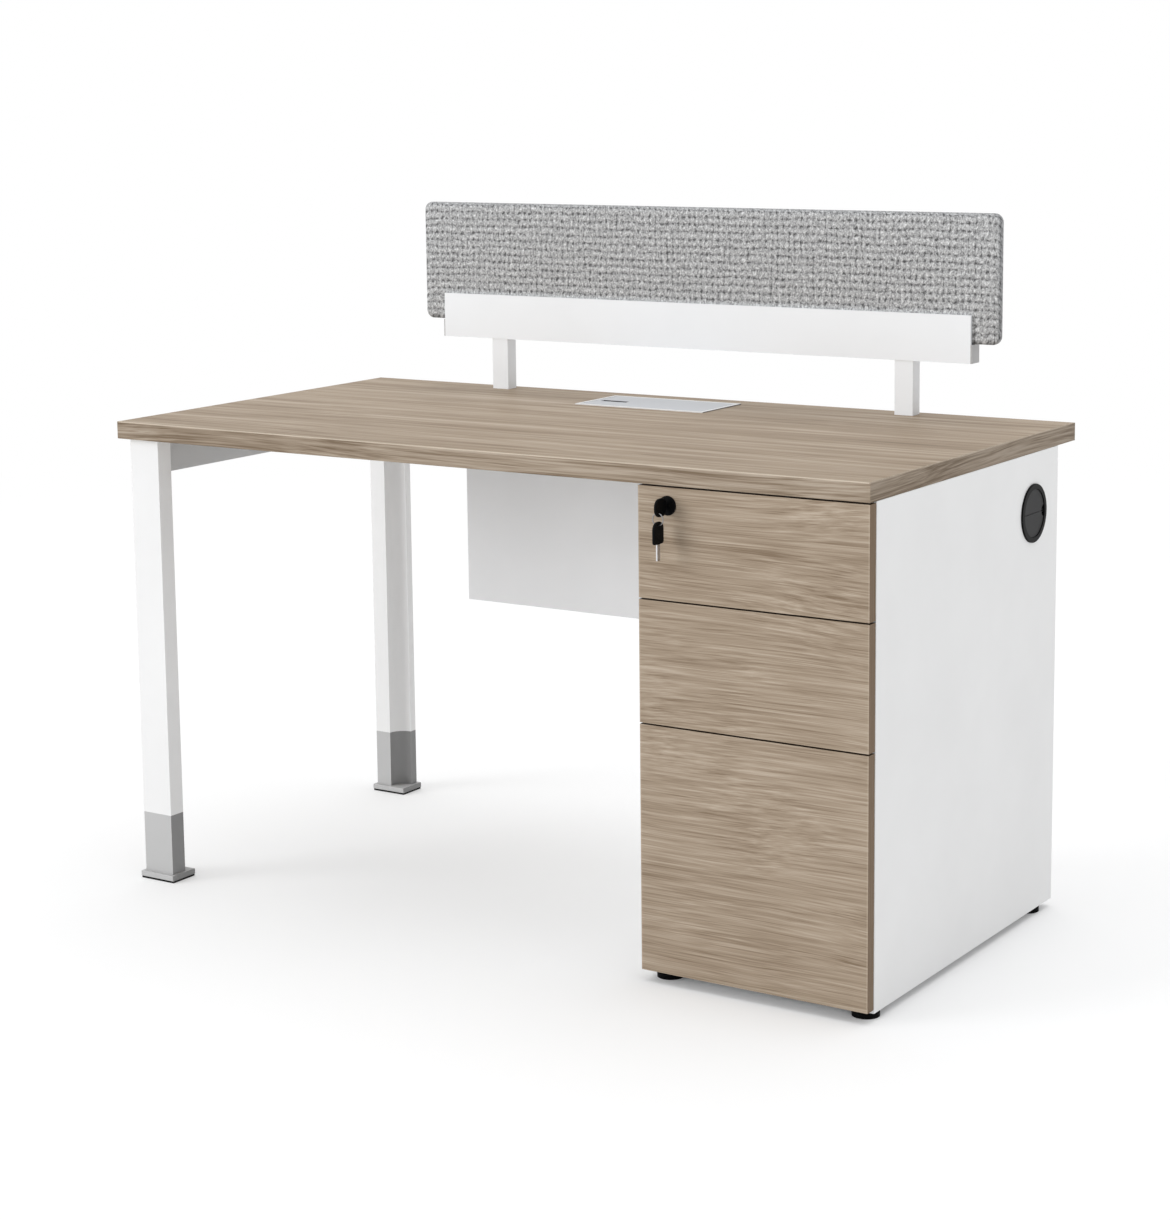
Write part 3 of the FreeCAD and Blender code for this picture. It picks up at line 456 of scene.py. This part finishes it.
def front_oak():
    """Drawer fronts: pale seams at both sides, painted shade on the side strips, and painted shade, almost
    black, on the upper and lower edges.
    """
    shader, colour, sideways = oak("oak_front", FRONT_SHARES, "Z", wave=0.9, tint=0.97, painted_end_shade=0.52,
                                   specular=0.06)
    low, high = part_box("upper_drawer_front")
    offset = shader.math("SUBTRACT", shader.split(shader.coordinates)["X"], (low.x + high.x) / 2)
    strip_start = (high.x - low.x) / 2 - SEAM_WIDTH
    in_strip = shader.math("GREATER_THAN", shader.math("ABSOLUTE", offset), strip_start)
    seam = shader.math("SUBTRACT", shader.math("MULTIPLY", in_strip, SEAM_SHARE), sideways, clamp=True)
    colour = shader.mix(seam, colour, OAK_LIGHT)
    # Painted shade: the side strips, facing X, take a warm dark tone
    colour = shader.mix(shader.math("MULTIPLY", sideways, STRIP_SHADE_SHARE), colour, OAK_STRIP_SHADE)
    # Painted shade: the upper and lower edges, seen in the gaps between fronts, are almost black
    shader.set(Base_Color=shader.mix(faces_along(shader, "Z"), colour, OAK_GAP_SHADE))
    return shader.material


def coated(name, colour, peel, roughness, metallic=0.0, specular=0.4, painted_shade=None):
    """Sprayed or moulded finish with faint clouds and orange peel, and painted shade, a darker tint, on the
    faces its last argument names.
    """
    shader = Shader(name)
    cloud = shader.even_noise(CLOUD_SCALE, detail=3.0)
    relief = shader.even_noise(peel.scale, detail=2.0)
    tone = shader.two_tone(cloud, shade(colour, CLOUD_TINT), colour)
    # Painted shade: faces that look squarely along the axis are darkened by its tint
    if painted_shade:
        tone = shader.mix(faces_along(shader, painted_shade.axis, painted_shade.least), tone, shade(colour, painted_shade.tint))
    shader.set(Base_Color=tone, Metallic=metallic, Specular_IOR_Level=specular)
    shader.set(Roughness=shader.spread(relief, roughness - ROUGHNESS_BELOW, roughness + ROUGHNESS_ABOVE))
    shader.bump(relief, peel.depth, strength=0.4)
    return shader.material


def brushed(name, colour, roughness):
    """Metal with fine lines along Y."""
    shader = Shader(name)
    lines = shader.noise(shader.coordinates, BRUSH_SCALE, detail=2.0)
    cloud = shader.even_noise(BRUSH_CLOUD_SCALE, detail=3.0)
    line_roughness = shader.spread(lines, roughness - BRUSH_ROUGHNESS, roughness + BRUSH_ROUGHNESS)
    cloud_roughness = shader.math("MULTIPLY", cloud, BRUSH_CLOUD_SHARE)
    shader.set(Base_Color=shader.two_tone(lines, shade(colour, BRUSH_TINT), colour), Metallic=1.0)
    shader.set(Roughness=shader.math("ADD", line_roughness, cloud_roughness))
    shader.bump(lines, BRUSH_DEPTH, strength=0.3)
    return shader.material


def key_finish():
    """Spare key: black moulded bow above, nickel blade below."""
    shader = Shader("spare_key_finish")
    height = shader.split(shader.coordinates)["Z"]
    blade_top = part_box("spare_key")[0].z + BLADE_LENGTH
    is_blade = shader.math("LESS_THAN", height, blade_top)
    relief = shader.even_noise(BLACK_PLASTIC_PEEL.scale, detail=2.0)
    moulded = shader.two_tone(relief, BLACK, shade(BLACK, KEY_TINT))
    shader.set(Base_Color=shader.mix(is_blade, moulded, STEEL_GREY), Specular_IOR_Level=0.03)
    shader.set(Metallic=is_blade, Roughness=shader.spread(relief, low=0.32, high=0.46))
    shader.bump(relief, BLACK_PLASTIC_PEEL.depth, strength=0.3)
    return shader.material


def port_flap():
    """Dark grey plastic, with hinge pins painted black where they cross the notches, as painted shade."""
    shader = Shader("flap_plastic")
    low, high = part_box("port_ring")
    offset = shader.split(shader.vector("SUBTRACT", shader.coordinates, (low + high) / 2))
    at_end = shader.math("MAXIMUM", shader.math("GREATER_THAN", offset["Y"], REAR_NOTCH_START),
                         shader.math("LESS_THAN", offset["Y"], -FRONT_NOTCH_START))
    in_line = shader.math("LESS_THAN", shader.math("ABSOLUTE", offset["Z"]), PIN_REACH)
    relief = shader.even_noise(BLACK_PLASTIC_PEEL.scale, detail=2.0)
    plastic = shader.two_tone(relief, shade(FLAP_GREY, FLAP_TINT), FLAP_GREY)
    # Painted shade: the pins in the notches are black, as the shade there
    shader.set(Base_Color=shader.mix(shader.math("MULTIPLY", at_end, in_line), plastic, BLACK))
    shader.set(Roughness=shader.spread(relief, low=0.45, high=0.57), Specular_IOR_Level=0.12)
    shader.bump(relief, BLACK_PLASTIC_PEEL.depth, strength=0.4)
    return shader.material


def woven():
    """Grey melange of thick rows, parted by dotted dark lines, which wraps round the panel's edges and
    takes painted shade there.
    """
    shader = Shader("grey_weave")
    place = shader.split(shader.coordinates)
    wander = shader.even_noise(WANDER_SCALE, detail=2.0)
    shiver = shader.even_noise(SHIVER_SCALE, detail=1.0)
    stray = shader.weighted((wander, WANDER_REACH), (shiver, SHIVER_REACH))
    across = shader.math("ADD", shader.math("ADD", place["X"], place["Y"]), stray)
    up = shader.math("ADD", shader.math("ADD", place["Z"], place["Y"]), stray)
    flat = shader.join(across, up, 0.0)
    columns = shader.ridges(across, WEAVE_COLUMN)
    rows = shader.ridges(up, WEAVE_ROW)

    dots = shader.furrows(columns, DOT_SHARPNESS)
    patches = shader.noise(flat, PATCH_SCALE, detail=3.0, roughness=0.7)
    strength = shader.math("MULTIPLY", shader.spread(dots, low=0.25, high=1.0),
                           shader.spread(patches, low=-0.5, high=2.5))
    dark_lines = shader.math("MULTIPLY", shader.furrows(rows, LINE_SHARPNESS), strength)
    thread_noise = shader.noise(flat, THREAD_SCALE, detail=1.0)
    threads = shader.math("MULTIPLY", shader.furrows(columns, THREAD_SHARPNESS),
                          shader.math("GREATER_THAN", thread_noise, THREAD_LIMIT))
    specks = shader.noise(flat, SPECK_SCALE, detail=2.0, roughness=0.7)
    twist = shader.noise(flat, TWIST_SCALE, detail=1.0)
    tone = shader.weighted((specks, SPECK_SHARE), (twist, TWIST_SHARE), (dark_lines, LINE_SHARE),
                           (threads, THREAD_SHARE))

    # Painted shade: the cloth darkens as it turns away round the panel's edges
    painted_edge_shade = shader.fade(facing(shader, "Y"), EDGE_SHADE_START, EDGE_SHADE_END, high=EDGE_SHADE_SHARE)
    colour = shader.mix(painted_edge_shade, shader.ramp(tone, FABRIC_STOPS), shade(FABRIC_DARK, EDGE_SHADE_TINT))
    shader.set(Base_Color=colour, Roughness=0.92, Specular_IOR_Level=0.1)
    shader.set(Sheen_Weight=0.2, Sheen_Roughness=0.5)
    relief = shader.weighted((rows, ROW_RELIEF_SHARE), (columns, COLUMN_RELIEF_SHARE),
                             (specks, SPECK_RELIEF_SHARE))
    shader.bump(relief, WEAVE_DEPTH, strength=0.6)
    return shader.material


def slot_finishes():
    """A finish for each material slot. The fabric's is a stand-in, since its CAD solid is replaced."""
    powder = coated("powder_white", POWDER_WHITE, POWDER_PEEL, roughness=0.42)
    return {
        "wood_laminate": board_oak(),
        "wood_edge": band_oak(),
        "white_metal": powder,
        "white_board": coated("melamine_white", BOARD_WHITE, BOARD_PEEL, roughness=0.4),
        # Painted shade: faces of the grey metal parts that turn towards X, sides and scoops, are darkened
        "grey_metal": coated("foot_grey", FOOT_GREY, METAL_PEEL, roughness=0.45, specular=0.2,
                             painted_shade=PaintedShade("X", least=0.02, tint=0.52)),
        "black_rubber": coated("rubber", RUBBER_BLACK, RUBBER_PEEL, roughness=0.75, specular=0.15),
        "black_plastic": coated("black_plastic", BLACK, BLACK_PLASTIC_PEEL, roughness=0.42, specular=0.03),
        "white_plastic": coated("white_plastic", POWDER_WHITE, PALE_PLASTIC_PEEL, roughness=0.38),
        "steel": brushed("zinc_steel", STEEL_GREY, roughness=0.34),
        # Painted shade: the lid's faces that look along Y, its slot walls and its edges in the gap, are
        # almost black
        "aluminium": coated("anodised_lid", LID_GREY, ANODISED_PEEL, roughness=0.4, metallic=0.3,
                            painted_shade=PaintedShade("Y", least=SQUARE_ON, tint=0.12)),
        "grey_fabric": powder,
    }


def piece_finishes(by_slot):
    """Finishes of the nodes that look different from their slot's finish."""
    fronts = front_oak()
    # Painted shade: the divider's faces that look along X, the posts' sides, are a little darker
    divider_paint = coated("divider_white", DIVIDER_WHITE, POWDER_PEEL, roughness=0.42,
                           painted_shade=PaintedShade("X", least=SQUARE_ON, tint=0.9))
    flap = port_flap()
    return {
        "upper_drawer_front": fronts,
        "middle_drawer_front": fronts,
        "lower_drawer_front": fronts,
        "left_post": divider_paint,
        "right_post": divider_paint,
        "divider_beam": divider_paint,
        # Grey end caps, whose grey is also painted shade on the beam's right end
        "beam_end_caps": coated("cap_grey_and_shade", CAP_GREY_AND_SHADE, PALE_PLASTIC_PEEL, roughness=0.45, specular=0.2),
        # Painted shade: the side beam is a darker white, for the shade under the desktop
        "side_beam": coated("beam_white_painted_shade", BEAM_WHITE_PAINTED_SHADE, POWDER_PEEL, roughness=0.42),
        # Painted shade: the modesty panel is a darker white, for the shade under the desktop
        "modesty_panel": coated("modesty_white_painted_shade", MODESTY_WHITE_PAINTED_SHADE, BOARD_PEEL, roughness=0.42),
        # Painted shade: the rim's faces that look along X are darkened, as the shade at its side edges
        "cable_box_frame": coated("anodised_rim", RIM_GREY, ANODISED_PEEL, roughness=0.4, specular=0.3,
                                  painted_shade=PaintedShade("X", least=SQUARE_ON, tint=0.22)),
        # Dark tray, whose darkness is also painted shade in the lid's slot
        "cable_box_tray": coated("tray_grey_and_shade", TRAY_GREY_AND_SHADE, METAL_PEEL, roughness=0.5, specular=0.2),
        "port_ring": coated("port_plastic", BLACK, BLACK_PLASTIC_PEEL, roughness=0.45, specular=0.08),
        "upper_port_flap": flap,
        "lower_port_flap": flap,
        "lock_plug": by_slot["black_plastic"],
        "key_ring": brushed("ring_steel", RING_GREY, roughness=0.3),
        "spare_key": key_finish(),
    }


def dress_nodes():
    """Gives every CAD node its finish."""
    by_slot = slot_finishes()
    by_piece = piece_finishes(by_slot)
    for entry in frame["record"]["subparts"]:
        node = frame["nodes"][entry["node"]]
        finish = by_piece.get(entry["node"], by_slot[entry["material_slot"]])
        node.data.materials.clear()
        node.data.materials.append(finish)


def rounded_outline(width, height, radius, steps):
    """Points round a rectangle with rounded corners, centred on the origin."""
    points = []
    for corner, (sign_x, sign_z) in enumerate(((1, 1), (-1, 1), (-1, -1), (1, -1))):
        centre_x = sign_x * (width / 2 - radius)
        centre_z = sign_z * (height / 2 - radius)
        for step in range(steps + 1):
            angle = math.pi / 2 * (corner + step / steps)
            points.append((centre_x + radius * math.cos(angle), centre_z + radius * math.sin(angle)))
    return points


def screen_profile(half):
    """Insets and depths of the screen's rings, from its front face, round the edge, to its rear face."""
    rings = [(inset, half - SCREEN_CROWN * (1 - inset / SCREEN_INSETS[0]) ** 2) for inset in SCREEN_INSETS]
    rim = half - SCREEN_CROWN - SCREEN_EDGE
    for step in range(EDGE_STEPS + 1):
        angle = math.pi / 2 * step / EDGE_STEPS
        rings.append((SCREEN_EDGE * (1 - math.sin(angle)), rim + SCREEN_EDGE * math.cos(angle)))
    front = [(inset, -depth) for inset, depth in rings]
    return front + list(reversed(rings))


def screen_mesh():
    """A board wrapped in cloth, crowned a little and drawn in along its edges."""
    low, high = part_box("screen_panel")
    centre = (low + high) / 2
    size = high - low
    mesh = bpy.data.meshes.new("screen_fabric")
    build = bmesh.new()
    loops = []
    for inset, depth in screen_profile(size.y / 2):
        radius = max(SCREEN_CORNER - inset, SCREEN_LEAST_CORNER)
        outline = rounded_outline(size.x - 2 * inset, size.z - 2 * inset, radius, CORNER_STEPS)
        loops.append([build.verts.new((centre.x + x, centre.y + depth, centre.z + z)) for x, z in outline])
    for first, second in zip(loops, loops[1:]):
        count = len(first)
        for index in range(count):
            after = (index + 1) % count
            build.faces.new((first[index], first[after], second[after], second[index]))
    build.faces.new(loops[0])
    build.faces.new(list(reversed(loops[-1])))
    bmesh.ops.recalc_face_normals(build, faces=build.faces)
    build.to_mesh(mesh)
    build.free()
    for face in mesh.polygons:
        face.use_smooth = True
    return mesh


def upholstered_screen():
    """The fabric screen, in place of its plain CAD solid."""
    mesh = screen_mesh()
    mesh.materials.append(woven())
    screen = bpy.data.objects.new("screen_fabric", mesh)
    bpy.context.scene.collection.objects.link(screen)
    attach(screen, "desk")
    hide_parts("screen_panel")


def background_ray(tree):
    """1 for rays that see the background: from the camera, off gloss or through glass."""
    path = tree.nodes.new("ShaderNodeLightPath")
    total = path.outputs["Is Camera Ray"]
    for name in ("Is Glossy Ray", "Is Transmission Ray"):
        either = tree.nodes.new("ShaderNodeMath")
        either.operation = "MAXIMUM"
        tree.links.new(total, either.inputs[0])
        tree.links.new(path.outputs[name], either.inputs[1])
        total = either.outputs[0]
    return total


def make_world():
    """Even white surroundings: plain light on the object, white behind it."""
    world = bpy.data.worlds.new("studio")
    bpy.context.scene.world = world
    world.use_nodes = True
    tree = world.node_tree
    backdrop = tree.nodes["Background"]
    backdrop.inputs["Color"].default_value = (1, 1, 1, 1)
    level = tree.nodes.new("ShaderNodeMapRange")
    tree.links.new(background_ray(tree), level.inputs["Value"])
    level.inputs["To Min"].default_value = AMBIENT
    level.inputs["To Max"].default_value = WHITE_STRENGTH
    tree.links.new(level.outputs["Result"], backdrop.inputs["Strength"])


def floor_finish():
    """Pale matt floor that glows white away from the desk, and less where a piece stands on it."""
    shader = Shader("floor_white")
    cloud = shader.even_noise(FLOOR_CLOUD_SCALE, detail=2.0)
    colour = shader.ramp(cloud, ((0.0, shade(FLOOR_WHITE, FLOOR_CLOUD_TINT)), (1.0, FLOOR_WHITE)))
    shader.set(Base_Color=colour, Roughness=0.9, Specular_IOR_Level=0.0)
    distance = shader.add("ShaderNodeVectorMath", operation="LENGTH")
    shader.feed(distance.inputs[0], shader.coordinates)
    away = shader.fade(distance.outputs["Value"], FLOOR_FADE_START, FLOOR_FADE_END, low=FLOOR_WHITE_SHARE)
    contact = shader.add("ShaderNodeAmbientOcclusion")
    shader.feed(contact.inputs["Distance"], CONTACT_REACH)
    white_share = shader.math("MULTIPLY", away, contact.outputs["AO"])
    glow = shader.add("ShaderNodeEmission")
    shader.feed(glow.inputs["Strength"], WHITE_STRENGTH)
    mixed = shader.add("ShaderNodeMixShader")
    shader.feed(mixed.inputs["Fac"], shader.math("MULTIPLY", white_share, background_ray(shader.tree)))
    shader.feed(mixed.inputs[1], shader.surface.outputs["BSDF"])
    shader.feed(mixed.inputs[2], glow.outputs["Emission"])
    shader.feed(shader.tree.nodes["Material Output"].inputs["Surface"], mixed.outputs["Shader"])
    return shader.material


def make_floor():
    """Floor that takes the desk's shadow near it and runs out into white."""
    mesh = bpy.data.meshes.new("floor")
    corners = [(-FLOOR_REACH, -FLOOR_REACH, 0), (FLOOR_REACH, -FLOOR_REACH, 0),
               (FLOOR_REACH, FLOOR_REACH, 0), (-FLOOR_REACH, FLOOR_REACH, 0)]
    mesh.from_pydata(corners, [], [(0, 1, 2, 3)])
    mesh.materials.append(floor_finish())
    floor = bpy.data.objects.new("floor", mesh)
    bpy.context.scene.collection.objects.link(floor)


def make_lamps():
    """Distant soft lamps, each shining along its direction."""
    for lamp in LAMPS:
        sun = bpy.data.lights.new(lamp.name, "SUN")
        sun.energy = lamp.strength
        sun.angle = math.radians(lamp.spread)
        holder = bpy.data.objects.new(lamp.name, sun)
        bpy.context.scene.collection.objects.link(holder)
        holder.rotation_euler = Vector(lamp.direction).to_track_quat("-Z", "Y").to_euler()


def make_camera():
    """The photograph's camera, as fitted to the desk's corners there."""
    yaw, pitch, roll = (math.radians(angle) for angle in (CAMERA_YAW, CAMERA_PITCH, CAMERA_ROLL))
    forward = Vector((-math.sin(yaw) * math.cos(pitch), math.cos(yaw) * math.cos(pitch), -math.sin(pitch)))
    level = Vector((math.cos(yaw), math.sin(yaw), 0))
    upright = level.cross(forward)
    right = math.cos(roll) * level + math.sin(roll) * upright
    up = math.cos(roll) * upright - math.sin(roll) * level
    lens = bpy.data.cameras.new("camera")
    lens.sensor_width = SENSOR
    lens.lens = FOCAL_PIXELS / IMAGE_HEIGHT * SENSOR
    lens.shift_y = CAMERA_SHIFT_SHARE
    lens.clip_end = CAMERA_CLIP_END
    camera = bpy.data.objects.new("camera", lens)
    bpy.context.scene.collection.objects.link(camera)
    place = Vector((top_low.x + CAMERA_FROM_LEFT, top_low.y + CAMERA_FROM_FRONT, CAMERA_HEIGHT))
    axes = Matrix((right, up, -forward)).transposed()
    camera.matrix_world = Matrix.Translation(place) @ axes.to_4x4()
    bpy.context.scene.camera = camera


bpy.context.scene.view_settings.view_transform = "Standard"
make_camera()
dress_nodes()
upholstered_screen()
make_floor()
make_world()
make_lamps()
